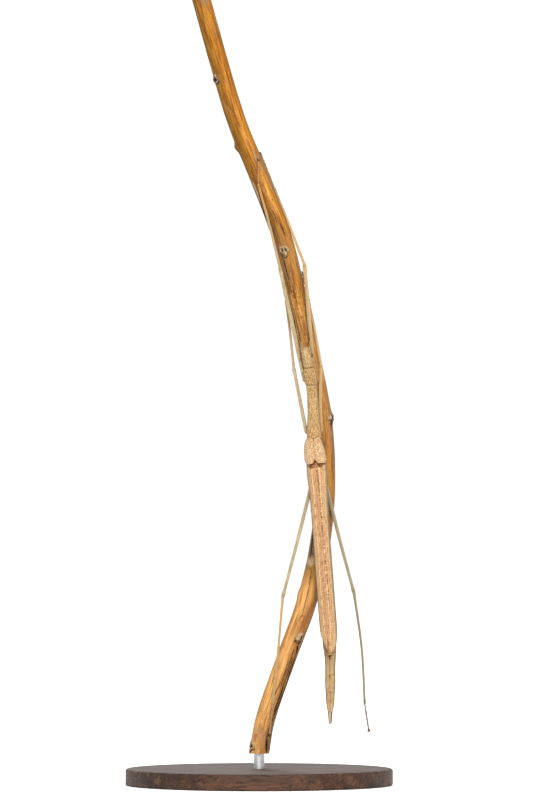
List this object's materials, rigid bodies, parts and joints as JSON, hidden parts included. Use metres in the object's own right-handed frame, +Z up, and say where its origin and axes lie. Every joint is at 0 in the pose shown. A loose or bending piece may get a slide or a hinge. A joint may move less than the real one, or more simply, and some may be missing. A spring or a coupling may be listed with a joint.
{
  "type": "stick insect",
  "caption": "Still life-size model of a winged female stick insect stretched along a cut branch, legs laid fore and aft, held upright by a short rod on a flat round base.",
  "frame": {"origin": "centre of the flat underside of the display stand's base, under the rod", "axes": "+Z up, with the head up; the insect's back faces -Y and the branch lies behind it; +X is the viewer's right when the back is seen"},
  "size_m": [0.064, 0.064, 0.189],
  "materials": {
    "body": "straw-brown insect cuticle, finely grained and slightly waxy",
    "leg": "pale khaki cuticle with fine ridges, satin",
    "wing": "dry, netted wing membrane with pinkish lengthwise veins",
    "tegmen": "cream, finely netted leathery scale, matt",
    "eye": "dark brown compound eye, glossy",
    "branch": "orange-brown peeled branch with fine grain and weathered knots",
    "stand_wood": "dark oiled hardwood, satin",
    "stand_steel": "brushed steel rod"
  },
  "bodies": {
    "root": {"stand_base": "stand_wood", "stand_rod": "stand_steel", "perch_branch": "branch", "head": "body", "mouthparts": "body", "palp_left": "leg", "palp_right": "leg", "eye_left": "eye", "eye_right": "eye", "antenna_left": "leg", "antenna_right": "leg", "prothorax": "body", "mesothorax": "body", "metathorax": "body", "abdomen_01": "body", "abdomen_02": "body", "abdomen_03": "body", "abdomen_04": "body", "abdomen_05": "body", "abdomen_06": "body", "abdomen_07": "body", "abdomen_08": "body", "abdomen_09": "body", "abdomen_10": "body", "operculum": "body", "cercus_left": "body", "cercus_right": "body", "tegmen_left": "tegmen", "tegmen_right": "tegmen", "wing_left": "wing", "wing_right": "wing", "coxa_fore_left": "leg", "femur_fore_left": "leg", "tibia_fore_left": "leg", "tarsus_fore_left": "leg", "coxa_fore_right": "leg", "femur_fore_right": "leg", "tibia_fore_right": "leg", "tarsus_fore_right": "leg", "coxa_mid_left": "leg", "femur_mid_left": "leg", "tibia_mid_left": "leg", "tarsus_mid_left": "leg", "coxa_mid_right": "leg", "femur_mid_right": "leg", "tibia_mid_right": "leg", "tarsus_mid_right": "leg", "coxa_hind_left": "leg", "femur_hind_left": "leg", "tibia_hind_left": "leg", "tarsus_hind_left": "leg", "coxa_hind_right": "leg", "femur_hind_right": "leg", "tibia_hind_right": "leg", "tarsus_hind_right": "leg"}
  },
  "joints": []
}
